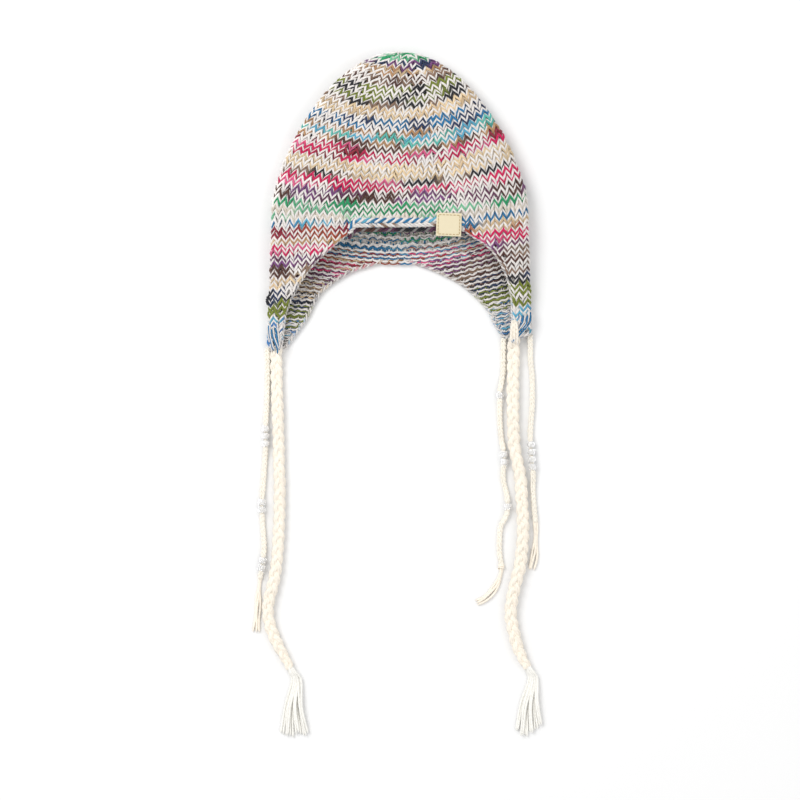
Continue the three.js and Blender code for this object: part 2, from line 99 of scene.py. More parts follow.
# Stitches: a loop's lean as a share of its width, how far its arms rise and bulge, and its two strands
STITCH_WIDTH = 7.8
SECTORS = 5
SECTOR_STITCHES = 13
FLAP_STITCHES = 20
UPPER_PIECES_FROM = 13
LOOP_LEAN = 0.355
LOOP_SQUARENESS = 0.045
LOOP_HEIGHT = 5.5
LOOP_FLATNESS = -0.06
LOOP_RELIEF = 1.5
LOOP_SAMPLES = 14
STRAND_RADIUS = 0.86
STRAND_RISE = 1.3
STRAND_SIDES = 5
STRAND_TURN = 0.62
STRAND_DEPTH = 0.7
EDGE_INSET = 0.9
WALE_LEAN = 0.75

# How uneven the hand knitting is, and after how many stitches that changes
UNEVEN = {"lean": 0.1, "across": 0.035, "height": 0.07, "lift": 0.35, "white": 0.02, "strand": 0.15,
          "relief": 0.16, "thickness": 0.08}
OFTEN = 0.5
SELDOM = 1.3
# Painted light: inside the hat the off-white strand is made lighter against the shade there, and thicker
INSIDE_PAINTED_LIGHT_AND_THICKNESS = 1.16

# Yarn that closes the holes behind the decreases and at the very top
DECREASES_FROM = 8
BAR_ROWS = (-0.3, 0.3)
BAR_DEPTH = 0.5
BAR_RADIUS = 1.3
COIL_TURNS = 3
COIL_SAMPLES = 60
COIL_RADIUS = 1.4

# Edges: what each rope along the front rim is twisted from, the edge stitches, and a dark knot on a fold
RIM_ROPES = [
    {"row": 0.66, "out": 1.2, "colours": ["sky", "blue", "blue"], "pitch": 2 * STITCH_WIDTH,
     "strands": [("dyed", 1), ("white", 1), ("dyed", 1), ("white", 1)], "reach": 1.7, "radius": 1.25},
    {"row": -0.16, "out": 0.9, "colours": ["white", "taupe", "white"], "pitch": -1.5 * STITCH_WIDTH,
     "strands": [("white", 1), ("dyed", 1), ("white", 0.9)], "reach": 1.3, "radius": 1.1},
    # The gap behind the rim: plum, black and brown yarn, and painted shade, since every strand is darkened,
    # the white one to a quarter
    {"row": -0.95, "out": -1.2, "colours": ["plum", "black", "plum", "brown"], "pitch": 12,
     "strands": [("dyed", 0.7), ("dyed", 0.35), ("dyed", 0.7), ("white", 0.25)], "reach": 1.3, "radius": 1.2},
]
RIM_OVERLAP = 0.04
RIM_END_DROP = 1.3
RIM_END_SHARE = 0.07
FLAP_EDGE_PITCH = 8
BACK_EDGE_PITCH = 9
BACK_EDGE_ROW = -2.2
NUB_ROW = -12.2
NUB_ROWS = 1.9
NUB_REACH = 3.7
NUB_RADIUS = 1.1

# Yarn ends from the flap tips into the ties, and the right tie's yarns that reach up over its tip: shares of
# their place beside the tie, and how far up and how high they run from its start
TIP_YARNS = 7
TIP_YARN_OUT = 2.5
TIP_YARN_RADIUS = 0.85
TIE_YARN_RADIUS = 1.7
TIE_YARNS_BESIDE = (-2.6, 0, 2.6)
TIE_YARN_COURSE = [(0.4, 16, 4.5), (0.7, 12.5, 8), (1, 5, 7.4), (1, -2, 5.2), (1, -9, 1)]

# Label, as in the solids, and its stitched border
LABEL_WIDTH = 23.5
LABEL_HEIGHT = 21.6
LABEL_THICKNESS = 0.8
LABEL_X = 45.5
LABEL_DROP = 2
LABEL_TURN = math.radians(-2)
LABEL_BOW = 0.28
BORDER_INSET = 1.8
BORDER_STITCH = 2.1
BORDER_PITCH = 3.0
BORDER_THREAD = 0.3

# Cords and beads, as in the solids but for the beads' narrower bore
BEAD_DIAMETER = 7.4
BEAD_LENGTH = 6.6
BEAD_BORE = 4.2
PIECE_GAP = 0.3
LEFT_TIE_ROUTE = [
    [-116.5, -139.1, 6.5], [-116.3, -160, 6.1], [-115.6, -188, 6.1], [-114.8, -216, 6.1],
    [-114.2, -245, 6.1], [-113.4, -273, 6.1], [-113.6, -298, 6.1], [-114.6, -322, 6.1],
    [-116.4, -344, 6.1], [-119.6, -362, 6.1], [-123.4, -377, 6.1], [-124.6, -388, 6.1],
    [-122.4, -401, 6.1], [-116.2, -417, 6.1], [-108.6, -431, 6.1], [-103.4, -441, 6.1],
]
RIGHT_TIE_ROUTE = [
    [107.4, -129.9, 6.9], [107.0, -150, 6.4], [106.6, -170, 6.4], [106.4, -192, 6.4],
    [106.6, -213, 6.4], [107.8, -232, 6.4], [111.0, -249, 6.4], [113.8, -265, 6.4],
    [114.8, -284, 6.4], [116.0, -302, 6.4], [115.6, -322, 6.4], [113.4, -343, 6.4],
    [109.0, -361, 6.4], [105.0, -379, 6.4], [104.4, -392, 6.4], [106.8, -406, 6.4],
    [110.6, -420, 6.4], [116.4, -434, 6.4], [120.2, -440.5, 6.4],
]
LEFT_CORD_ROUTE = [
    [-125, -139.2, 3.6], [-125, -149, 2.3], [-125, -170, 2.15], [-125.2, -190, 2.15],
    [-126, -202, 2.4], [-126.6, -209, 3.5], [-126.8, -215, 3.78], [-126.8, -229.5, 3.78],
    [-127, -236, 3.4], [-127.2, -243, 2.3], [-128.4, -262, 2.15], [-129.8, -275, 2.6],
    [-130.4, -284, 3.78], [-130.4, -292, 3.78], [-129.8, -302, 2.6], [-128.6, -315, 2.15],
    [-128.2, -328, 2.6], [-129.4, -339, 3.78], [-130.6, -347, 3.78], [-132.2, -357, 2.6],
    [-133.4, -372, 2.15], [-134.6, -390, 2.15], [-135.8, -408, 2.15],
]
INNER_CORD_ROUTE = [
    [97.6, -130.4, 3.4], [97.2, -143, 2.2], [97.2, -160, 2.15], [96, -172, 2.6],
    [94.4, -180, 3.75], [94.2, -187.5, 3.78], [94, -198, 2.5], [94.2, -212, 2.15],
    [95.6, -226, 2.4], [97.4, -234, 3.6], [98.2, -239, 3.78], [98.2, -248.5, 3.78],
    [97.2, -256, 2.9], [97.6, -266, 2.2], [99.8, -275, 2.4], [101.1, -282.5, 3.7],
    [101.3, -293.5, 3.78], [99.2, -300, 2.9], [95.4, -307, 2.15], [93.8, -320, 2.15],
    [93.8, -334, 2.15], [95.6, -346, 2.15], [93.4, -358, 2.15], [87.4, -368.5, 2.15],
    [79.8, -376, 2.15], [71.6, -380, 2.15],
]
OUTER_CORD_ROUTE = [
    [122.6, -126.9, 4.6], [122.8, -138, 2.6], [123, -152, 2.15], [124.6, -164, 2.15],
    [125.2, -176, 2.15], [124.8, -192, 2.15], [123.4, -208, 2.15], [122.8, -219, 2.6],
    [123, -226, 3.6], [123.4, -231, 3.78], [124.4, -246, 3.78], [125.2, -254, 3.7],
    [125.6, -261, 2.9], [125.2, -272, 2.2], [126.4, -288, 2.15], [127.8, -302, 2.15],
    [128, -318, 2.15], [127, -334, 2.15], [123.8, -349, 2.15],
]

# Tassels, as in the solids
TASSEL_LENGTH = 62
TASSEL_HEAD_LENGTH = 8
TASSEL_TURN = 0.02
LOCK_LAYER = 3
LOCK_HALF_WIDTH = 0.85
LOCK_YARN_RADIUS = 1.22

# A lock's course: shares of its length, of its lean and of its layer's height
LOCK_COURSE = [(0.12, 0.25, 0.50), (0.55, 0.60, 1.00), (1.00, 1.00, 0.40)]

# Plaits: pitch, how far strands swing aside and up, a yarn's radius and its place in its strand. The thick
# plaits have these as shares of the half diameter.
TIE_PITCH = 31
TIE_PLAIT = {"reach": 0.48, "lift": 0.2, "radius": 0.3, "bundle": 0.22}
TIE_TONES = (1.0, 0.985, 1.0, 0.97, 1.0)
THIN_PLAIT = {"period": 12.5, "reach": 1.4, "lift": 0.5, "radius": 0.98, "bundle": 0.6}
THIN_TONES = (1.0, 0.98)
KNOTTED_CORD = "right_inner"
PLAIT_TWIST = 0.6
LOOSE_LEANS = (-1.0, 0.1, 0.9)
LOOSE_RADIUS = 1.15
YARN_SIDES = 6

# Each tie, and how far each lock of its tassel leans aside and falls short, as shares of the tassel's length
TIES = [
    {"side": "left", "route": LEFT_TIE_ROUTE, "diameter": 12,
     "locks": [(-0.18, 0.04), (-0.10, 0.02), (-0.03, 0.00), (0.05, 0.05), (0.13, 0.01), (0.20, 0.03)]},
    {"side": "right", "route": RIGHT_TIE_ROUTE, "diameter": 12.6,
     "locks": [(-0.22, 0.10), (-0.15, 0.02), (-0.08, 0.00), (0.00, 0.06), (0.08, 0.10), (0.15, 0.16)]},
]

# Each thin cord, and how far along it its beads are and its plait ends
THIN_CORDS = [
    {"name": "left", "node": "left_beaded_cord", "route": LEFT_CORD_ROUTE, "plaited": 219,
     "beads": [76.4, 83.4, 90.4, 146, 153, 201.4, 208.4]},
    {"name": "right_inner", "node": "right_inner_cord", "route": INNER_CORD_ROUTE, "plaited": 219,
     "beads": [54.1, 110.1, 117.1, 160.1]},
    {"name": "right_outer", "node": "right_outer_cord", "route": OUTER_CORD_ROUTE, "plaited": 178,
     "beads": [104, 111, 118, 125]},
]

# Camera and light
LENS = 135
SENSOR = 36
CAMERA_RISE = 0.012
WORLD_BRIGHTNESS = 0.74
LIGHTS = [
    {"name": "key_light", "place": (-1.2, 0.9, 1.9), "size": 1.3, "power": 34},
    {"name": "fill_light", "place": (1.6, -1.0, 2.2), "size": 2.2, "power": 14},
]
LIGHT_AIM = (0, -0.15, 0)
FLOOR_HALF = 6
FLOOR_DROP = 0.0002
FLOOR_TONE = 0.86

# Colours of the yarns, the label and its thread, as the screen shows them
CODES = {
    "white": "e9e4e0", "ivory": "e2d8c8", "wool": "fbf2e4", "cord": "f9f3e7", "pale": "f8f6f0",
    "cream": "ecd3ac", "beige": "d8bd98", "tan": "b98f68", "taupe": "8f7462", "brown": "5f4038",
    "plum": "6d3f5d", "purple": "7d4a80", "navy": "2e3d60", "blue": "2f79a9", "denim": "4880bb",
    "sky": "62afcd", "teal": "63bdb2", "green": "309c68", "mint": "7cc49c", "olive": "7f8a36",
    "black": "2a2a30", "pink": "e0638f", "crimson": "d0205b", "maroon": "8f2b3c", "rust": "a4472f",
    "label": "dfd3b4", "thread": "b49a68",
}

# Dyed stretches up the crown from the back rim: rows, and the dyes that take turns in them
CROWN_DYES = [
    (0.8, ["rust", "tan"]), (2.4, ["blue", "sky", "blue"]), (0.45, ["ivory", "mint"]), (0.65, ["ivory"]),
    (1.3, ["green", "mint", "green"]),
    (2.0, ["plum", "brown", "purple"]), (1.9, ["crimson", "crimson", "pink", "crimson"]),
    (0.9, ["black", "taupe"]), (2.6, ["cream", "beige", "cream"]),
    (2.4, ["crimson", "maroon", "crimson", "pink"]), (1.1, ["tan", "brown"]), (1.3, ["teal", "sky"]),
    (0.8, ["tan"]), (2.2, ["navy", "blue"]), (2.2, ["cream", "beige"]), (0.9, ["black", "taupe"]),
    (2.9, ["olive", "black", "olive"]), (2.0, ["taupe", "brown"]), (1.7, ["tan", "beige"]),
    (1.8, ["purple", "navy"]), (2.4, ["green", "mint"]),
]

# Dyed stretches down each flap from the crown
LEFT_FLAP_DYES = [
    (0.4, ["blue"]), (2.0, ["maroon", "rust"]), (1.0, ["tan", "beige"]), (1.7, ["crimson", "pink"]),
    (2.1, ["purple", "plum"]), (1.7, ["brown", "taupe"]), (1.9, ["cream", "beige"]),
    (3.0, ["black", "navy"]), (2.7, ["olive"]), (5.6, ["denim", "white", "sky"]),
]
RIGHT_FLAP_DYES = [
    (0.1, ["blue"]), (1.3, ["rust", "beige"]), (2.0, ["crimson", "pink"]), (1.7, ["purple", "plum"]),
    (4.2, ["brown", "taupe"]), (2.5, ["black", "navy"]), (3.8, ["olive"]), (6.5, ["denim", "white", "sky"]),
]


def linear(code):
    """Linear red, green and blue of a screen colour written as six hex digits."""
    shares = np.array([int(code[place:place + 2], 16) / 255 for place in (0, 2, 4)])
    return np.where(shares <= 0.04045, shares / 12.92, ((shares + 0.055) / 1.055) ** 2.4)


DYES = {name: linear(code) for name, code in CODES.items()}


def ease(value, low, high):
    """Smooth step from 0 to 1 between two values."""
    share = np.clip((value - low) / (high - low), 0, 1)
    return share * share * (3 - 2 * share)


def lerp(a, b, share):
    return a + (b - a) * share


def unit(vectors):
    return vectors / np.maximum(np.linalg.norm(vectors, axis=-1, keepdims=True), 1e-9)


def distances(points):
    """How far along a path each of its points is."""
    return np.concatenate([[0], np.cumsum(np.linalg.norm(np.diff(points, axis=0), axis=1))])


def sample(places, knots, values):
    """Points or colours at places, on straight lines between the values at the knots."""
    return np.stack([np.interp(places, knots, values[:, axis]) for axis in range(3)], axis=-1)


def half_width(distance):
    ahead = np.maximum(0, 1 - distance / NOSE_LENGTH)
    return HALF_WIDTH * np.sqrt(1 - ahead ** NOSE_POWER) + FLARE * distance


def bent_height(height, distance):
    """Height of a sheet that bends up from its fold until it reaches its full height."""
    safe = np.maximum(height, 1e-6)
    ahead = np.maximum(0, 1 - distance * FOLD_BEND / (safe * safe))
    return np.where(height < 1e-6, 0, safe * np.sqrt(1 - ahead * ahead))


def wall_point(angle, row):
    """Points in the middle of the knitted wall."""
    row = np.minimum(row, CROWN_ROWS - 0.02)
    run = ROW_HEIGHT * (CROWN_ROWS - row)
    front = run * run / (run + TOP_ROUNDING)
    rim_run = ROW_HEIGHT * CROWN_ROWS
    rim = rim_run * rim_run / (rim_run + TOP_ROUNDING)
    depth = np.clip(-row / FLAP_ROWS, 0, 1)
    start = front * front / (front * front + SAG_START * SAG_START)
    flattened = np.clip((front - FRONT_FLATTENS_FROM) / (rim - FRONT_FLATTENS_FROM), 0, 1)
    front_sag = start * lerp(ROW_SAG, RIM_SAG, flattened ** 2)
    back_sag = lerp(start * lerp(ROW_SAG, BACK_RIM_SAG, ease(front, BACK_DROPS_FROM, rim)), TIP_SAG, depth)
    tilt = ROW_TILT * front * front / (front * front + TILT_START * TILT_START)
    taper = ease(depth, 0, 1)
    side = np.sin(angle)
    facing = np.cos(angle)
    below = np.maximum(0, front - front_sag - tilt * side * np.abs(side))
    width = half_width(below)
    inward = width * (1 - np.abs(side))
    drop = lerp(BACK_DROP, TIP_RISE, taper)
    fold = KNIT / 2 + drop
    rise = bent_height(lerp(FRONT_RISE, TIP_RISE, taper), below)
    dome = 1 - (1 - inward / np.maximum(width, 1e-6)) ** 2
    front_z = fold + (1 - PUFF) * bent_height(rise, inward) + PUFF * rise * dome
    back_z = fold - bent_height(bent_height(drop, below), inward)
    is_front = facing >= 0
    sag = np.where(is_front, front_sag, back_sag)
    height = np.where(is_front, front_z, back_z)
    return np.stack([width * side, CROWN_TOP - below - sag * facing * facing, height], axis=-1)


def wall_normal(angle, row):
    """Outward directions of the wall."""
    step = 2e-3
    row = np.minimum(row, CROWN_ROWS - 0.05)
    around = wall_point(angle + step, row) - wall_point(angle - step, row)
    upward = wall_point(angle, row + step) - wall_point(angle, row - step)
    return unit(np.cross(around, upward))


def off_wall(angles, rows, out=0.0):
    """Points a distance out from the middle of the wall, and the outward directions there."""
    normals = wall_normal(angles, rows)
    return wall_point(angles, rows) + np.reshape(out, (-1, 1)) * normals, normals


def flap_share(column, depth):
    """How far a layer of a flap reaches in at depths, on a smooth curve through its table."""
    depths = np.array(FLAP_DEPTHS)
    shares = np.array(FLAP_REACHES[column])
    before = np.maximum(np.arange(len(depths)) - 1, 0)
    after = np.minimum(np.arange(len(depths)) + 1, len(depths) - 1)
    slopes = (shares[after] - shares[before]) / (depths[after] - depths[before])
    depth = np.clip(depth, 0, 1)
    last = np.clip(np.searchsorted(depths, depth), 1, len(depths) - 1)
    first = last - 1
    span = depths[last] - depths[first]
    t = (depth - depths[first]) / span
    u = 1 - t
    return (u * u * (1 + 2 * t) * shares[first] + t * t * (1 + 2 * u) * shares[last]
            + span * t * u * (u * slopes[first] - t * slopes[last]))


def crown_edge_row(angle):
    from_front = np.arccos(np.cos(angle))
    return -BACK_ROWS * ease(from_front, BACK_ROWS_FROM, BACK_ROWS_FULL_AT)


class WaleMap:
    """Turns a share of the way round the tube, measured along the cloth from the front, into an angle."""

    ROWS_EACH = 4

    def __init__(self):
        self.rows = np.arange(-24, CROWN_ROWS + 0.01, 1 / self.ROWS_EACH)
        self.shares = np.linspace(0, 1, 721)
        dense = np.linspace(0, TAU, 1441)
        self.angles = []
        self.perimeters = []
        for row in self.rows:
            along = distances(wall_point(dense, np.full_like(dense, row)))
            self.perimeters.append(along[-1])
            self.angles.append(np.interp(self.shares, along / along[-1], dense))
        self.angles = np.array(self.angles)

    def angle(self, share, row):
        turns = np.floor(share)
        place = (share - turns) * (len(self.shares) - 1)
        level = np.clip((row - self.rows[0]) * self.ROWS_EACH, 0, len(self.rows) - 1.001)
        i = level.astype(int)
        j = np.minimum(place.astype(int), len(self.shares) - 2)
        u = level - i
        v = place - j
        table = self.angles
        low = table[i, j] * (1 - v) + table[i, j + 1] * v
        high = table[i + 1, j] * (1 - v) + table[i + 1, j + 1] * v
        return low * (1 - u) + high * u + turns * TAU

    def share(self, angle, row):
        level = int(round((row - self.rows[0]) * self.ROWS_EACH))
        turns = math.floor(angle / TAU)
        return turns + float(np.interp(angle - turns * TAU, self.angles[level], self.shares))

    def perimeter(self, row):
        return np.interp(row, self.rows, self.perimeters)


wales = WaleMap()


def add_object(name, data):
    thing = bpy.data.objects.new(name, data)
    bpy.context.scene.collection.objects.link(thing)
    return thing


def smooth_mesh(name, points, faces):
    mesh = bpy.data.meshes.new(name)
    mesh.from_pydata(points, [], faces)
    mesh.polygons.foreach_set("use_smooth", [True] * len(mesh.polygons))
    mesh.update()
    return mesh


def add_piece(name, mesh, material, slot, *nodes):
    """A piece of the hat, which stands for nodes."""
    mesh.materials.append(material)
    piece = add_object(name, mesh)
    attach(piece, "root")
    if nodes:
        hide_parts(*nodes)
    return piece


class Yarn:
    """One mesh made of many round strands."""

    def __init__(self, name):
        self.name = name
        self.points, self.faces, self.dyes, self.along, self.twist = [], [], [], [], []
        self.count = 0

    def strand(self, path, ups, radius, dyes, sides=STRAND_SIDES, start=0.0):
        """Adds a strand along a path in millimetres. The radius and the dye may change on the way."""
        path = np.asarray(path, float)
        count = len(path)
        tangents = unit(np.gradient(path, axis=0))
        sideways = unit(np.cross(tangents, ups))
        outward = np.cross(sideways, tangents)
        angles = TAU * np.arange(sides) / sides
        ring = np.cos(angles)[:, None] * sideways[:, None] + np.sin(angles)[:, None] * outward[:, None]
        points = path[:, None] + np.reshape(radius, (-1, 1, 1)) * ring
        rows = np.arange(count - 1)[:, None] * sides
        columns = np.arange(sides)[None, :]
        following = (columns + 1) % sides
        corners = [rows + columns, rows + sides + columns, rows + sides + following, rows + following]
        self.points.append(points.reshape(-1, 3))
        self.faces.append(np.stack(corners, axis=-1).reshape(-1, 4) + self.count)
        self.dyes.append(np.repeat(np.broadcast_to(dyes, (count, 3)), sides, axis=0))
        self.along.append(np.repeat(distances(path) + start, sides))
        self.twist.append(np.tile(angles, count))
        self.count += count * sides

    def build(self, material, slot, *nodes):
        mesh = smooth_mesh(self.name, np.concatenate(self.points) * MM, np.concatenate(self.faces))
        dyes = np.concatenate(self.dyes)
        colours = np.column_stack([dyes, np.ones(len(dyes))])
        colour = mesh.attributes.new("dye", "FLOAT_COLOR", "POINT")
        colour.data.foreach_set("color", colours.astype(np.float32).ravel())
        twist = np.concatenate(self.twist)
        for name, values in [("along", np.concatenate(self.along)), ("ply_cos", np.cos(2 * twist)),
                             ("ply_sin", np.sin(2 * twist))]:
            attribute = mesh.attributes.new(name, "FLOAT", "POINT")
            attribute.data.foreach_set("value", values.astype(np.float32))
        return add_piece(self.name, mesh, material, slot, *nodes)


def route_points(route, spacing):
    """Points a spacing apart on the smooth curve through a route, the same curve as in the solids."""
    knots = np.array(route, float)
    knots = np.vstack([2 * knots[0] - knots[1], knots, 2 * knots[-1] - knots[-2]])
    shares = np.linspace(0, 1, 41)[:-1, None]
    curve = []
    for p0, p1, p2, p3 in zip(knots, knots[1:], knots[2:], knots[3:]):
        d0, d1, d2 = (math.sqrt(np.linalg.norm(b - a)) for a, b in ((p0, p1), (p1, p2), (p2, p3)))
        leave = d1 * ((p1 - p0) / d0 - (p2 - p0) / (d0 + d1) + (p2 - p1) / d1)
        arrive = d1 * ((p2 - p1) / d1 - (p3 - p1) / (d1 + d2) + (p3 - p2) / d2)
        curve.append(p1 + leave * shares + (-3 * p1 + 3 * p2 - 2 * leave - arrive) * shares ** 2
                     + (2 * p1 - 2 * p2 + leave + arrive) * shares ** 3)
    curve = np.vstack([*curve, knots[-2][None]])
    along = distances(curve)
    places = np.linspace(0, along[-1], int(round(along[-1] / spacing)) + 1)
    return sample(places, along, curve), places


class Look:
    """A new material, with short ways to set its shader and to add nodes."""

    def __init__(self, name):
        self.material = bpy.data.materials.new(name)
        self.material.use_nodes = True
        self.nodes = self.material.node_tree.nodes
        self.links = self.material.node_tree.links
        self.shader = self.nodes["Principled BSDF"]

    def feed(self, socket, value):
        """Sets a socket to a number or a colour, or links it to another node's output."""
        if isinstance(value, (int, float, tuple)):
            socket.default_value = value
        else:
            self.links.new(value, socket)

    def shade(self, **settings):
        """Sets or links inputs of the shader, whose names have an underscore here for each space."""
        for name, value in settings.items():
            self.feed(self.shader.inputs[name.replace("_", " ")], value)

    def node(self, kind, output, **settings):
        node = self.nodes.new(kind)
        for name, value in settings.items():
            self.feed(node.inputs[name], value)
        return node.outputs[output]

    def math(self, operation, *values):
        node = self.nodes.new("ShaderNodeMath")
        node.operation = operation
        for socket, value in zip(node.inputs, values):
            self.feed(socket, value)
        return node.outputs[0]

    def attribute(self, name, output="Fac"):
        node = self.nodes.new("ShaderNodeAttribute")
        node.attribute_name = name
        return node.outputs[output]

    def place(self):
        return self.node("ShaderNodeTexCoord", "Object")

    def noise(self, scale, detail):
        return self.node("ShaderNodeTexNoise", "Fac", Vector=self.place(), Scale=scale, Detail=detail,
                         Roughness=0.6)

    def bump(self, height, strength, distance):
        return self.node("ShaderNodeBump", "Normal", Strength=strength, Distance=distance, Height=height)

    def scaled(self, colour, share):
        mix = self.nodes.new("ShaderNodeVectorMath")
        mix.operation = "SCALE"
        self.feed(mix.inputs[0], colour)
        self.feed(mix.inputs["Scale"], share)
        return mix.outputs["Vector"]


def make_wool(name, ply_pitch, ply_depth, painted_groove_shade_depth):
    """Soft wool that takes its colour from the dye of each strand, with a twist of plies, loose fibres, and
    painted shade in the grooves between the plies.
    """
    look = Look(name)
    phase = look.math("MULTIPLY", look.attribute("along"), TAU / ply_pitch)
    first = look.math("MULTIPLY", look.attribute("ply_cos"), look.math("COSINE", phase))
    second = look.math("MULTIPLY", look.attribute("ply_sin"), look.math("SINE", phase))
    ply = look.math("ADD", first, second)
    relief = look.math("ADD", look.math("MULTIPLY", ply, ply_depth), look.noise(2600, 3))
    patches = look.math("MULTIPLY_ADD", look.noise(420, 2), 0.24, 0.9)
    # Painted shade: the colour is darker in the grooves between the plies
    painted_groove_shade = look.math("MULTIPLY_ADD", ply, painted_groove_shade_depth, 1 - painted_groove_shade_depth)
    colour = look.scaled(look.attribute("dye", "Color"), look.math("MULTIPLY", painted_groove_shade, patches))
    look.shade(Base_Color=colour, Normal=look.bump(relief, 0.55, 0.0006), Roughness=0.92,
               Specular_IOR_Level=0.2, Sheen_Weight=0.25, Sheen_Roughness=0.5)
    return look.material


def make_clear():
    """Clear, slightly cloudy plastic of the beads."""
    look = Look("clear_bead_plastic")
    haze = look.math("MULTIPLY_ADD", look.noise(500, 2), 0.1, 0.06)
    look.shade(Base_Color=(1, 1, 1, 1), Roughness=haze, Transmission_Weight=0.6, IOR=1.3)
    return look.material


def make_label_cloth():
    """Plain woven cream cloth: fine warp and weft, with slightly uneven threads, and painted shade between
    the threads.
    """
    look = Look("woven_label")
    place = look.place()
    threads = [look.node("ShaderNodeTexWave", "Fac", Vector=place, Scale=900, Distortion=0.6, Detail=1)
               for _ in range(2)]
    for wave, direction in zip(threads, "XY"):
        wave.node.bands_direction = direction
    weave = look.math("MAXIMUM", *threads)
    # Painted shade: the colour is darker between the threads of the weave and lighter on them
    weave_painted_shade = look.math("MULTIPLY_ADD", weave, 0.06, 0.9)
    worn = look.math("MULTIPLY", look.noise(300, 3), 0.06)
    colour = look.scaled(tuple(DYES["label"]), look.math("ADD", weave_painted_shade, worn))
    look.shade(Base_Color=colour, Normal=look.bump(weave, 0.3, 0.0001), Roughness=0.8,
               Specular_IOR_Level=0.25, Sheen_Weight=0.15)
    return look.material


def declare_cord(route):
    """Works out points along the cord's route, and keeps nothing of them."""
    path, along = route_points(route, 2.0)


def make_camera():
    """A camera straight above, which sees at the height of the hat's middle what the photo shows."""
    pixel = MM_PER_PIXEL * MM
    data = bpy.data.cameras.new("photo_camera")
    data.lens = LENS
    data.sensor_width = SENSOR
    data.clip_start = 0.1
    data.clip_end = 50
    camera = add_object("photo_camera", data)
    middle_x = (PHOTO_PIXELS / 2 - ORIGIN_PIXEL[0]) * pixel
    middle_y = (ORIGIN_PIXEL[1] - PHOTO_PIXELS / 2) * pixel
    camera.location = (middle_x, middle_y, PHOTO_PIXELS * pixel * LENS / SENSOR + CAMERA_RISE)
    bpy.context.scene.camera = camera


def plait(yarn, path, along, scale, dyes, period, reach, lift, radius, bundle):
    """Three strands plaited flat round a path, of one yarn for each dye, and as wide as scale says."""
    tangents = unit(np.gradient(path, axis=0))
    sideways = unit(np.cross(tangents, UP))
    upward = np.cross(sideways, tangents)
    for strand in range(3):
        phase = TAU * (along / period + strand / 3)
        middle = (path + (scale * reach * np.sin(phase))[:, None] * sideways
                  + (scale * lift * np.sin(2 * phase))[:, None] * upward)
        for part, dye in enumerate(dyes):
            turn = TAU * (part / len(dyes) + PLAIT_TWIST * along / period + 0.22 * PLAIT_TWIST * strand)
            wander = 1 + 0.12 * np.sin(TAU * along / (2.3 * period) + part * 1.9 + strand)
            offset = scale * bundle * wander
            place = (middle + (offset * np.cos(turn))[:, None] * sideways
                     + (offset * np.sin(turn))[:, None] * upward)
            yarn.strand(place, upward, radius * scale, dye, YARN_SIDES, 7.3 * part + 3.1 * strand)


def cream_dye(count, tone=1.0, shade="wool"):
    """Cream that wanders a little along a yarn, with a new value every 12 points."""
    tones = rng.uniform(0.96, 1.02, count // 12 + 2)
    wander = np.interp(np.arange(count), np.arange(0, count + 12, 12), tones)
    return tone * wander[:, None] * DYES[shade]


def make_tie(tie, material):
    """A thick plait, drawn together at its free end."""
    path, along = route_points(tie["route"], 1.5)
    half = tie["diameter"] / 2
    scale = 1 - 0.28 * ease(along, along[-1] - 30, along[-1])
    yarn = Yarn(f"{tie['side']}_plait")
    dyes = [cream_dye(len(path), tone) for tone in TIE_TONES]
    sizes = {name: half * share for name, share in TIE_PLAIT.items()}
    plait(yarn, path - UP, along, scale, dyes, TIE_PITCH, **sizes)
    return yarn.build(material, "cream_wool", f"{tie['side']}_tie")


def loose_ends(yarn, path, along, start):
    """Yarns that part from each other on the floor towards a cord's free end."""
    loose = along >= start
    tail = path[loose]
    places = along[loose]
    spread = ease(places, start, along[-1])
    sideways = unit(np.cross(np.gradient(tail, axis=0), UP))
    for part, lean in enumerate(LOOSE_LEANS):
        wave = lean * (0.9 + 1.8 * spread) + 0.5 * np.sin(places / 5 + 2 * part)
        place = tail + wave[:, None] * sideways
        place[:, 2] = 1.35 + 0.5 * (part == 1)
        thick = LOOSE_RADIUS * np.minimum(1, (along[-1] - places) / 3 + 0.05)
        yarn.strand(place, UP, thick, cream_dye(len(place)), YARN_SIDES, 11 * part)


def knot(yarn, path, along, place):
    """Two turns of yarn tied round a cord."""
    middle = sample(place, along, path)
    forwards = unit(sample(place + 1, along, path) - middle)
    sideways = unit(np.cross(forwards, UP))
    turn = np.linspace(0, 2 * TAU, 40)
    onward = ((turn / TAU - 1) * 1.7)[:, None] * forwards
    ring = middle + 2.3 * np.cos(turn)[:, None] * sideways + np.outer(1.3 * np.sin(turn) + 0.2, UP) + onward
    yarn.strand(ring, unit(ring - middle - onward), 0.95, cream_dye(len(ring)), YARN_SIDES)


def make_thin_cord(cord, material):
    """A thin plait, narrow inside its beads, with yarns that part near the free end."""
    path, along = route_points(cord["route"], 1.1)
    scale = np.ones(len(path))
    for bead in cord["beads"]:
        scale = np.minimum(scale, 0.72 + 0.28 * ease(np.abs(along - bead), 3.0, 5.5))
    yarn = Yarn(f"{cord['name']}_thin_plait")
    kept = along <= cord["plaited"]
    dyes = [cream_dye(int(kept.sum()), tone, "cord") for tone in THIN_TONES]
    plait(yarn, path[kept], along[kept], scale[kept], dyes, **THIN_PLAIT)
    loose_ends(yarn, path, along, cord["plaited"] - 4)
    if cord["name"] == KNOTTED_CORD:
        knot(yarn, path, along, cord["plaited"])
    return yarn.build(material, "cream_wool", cord["node"])


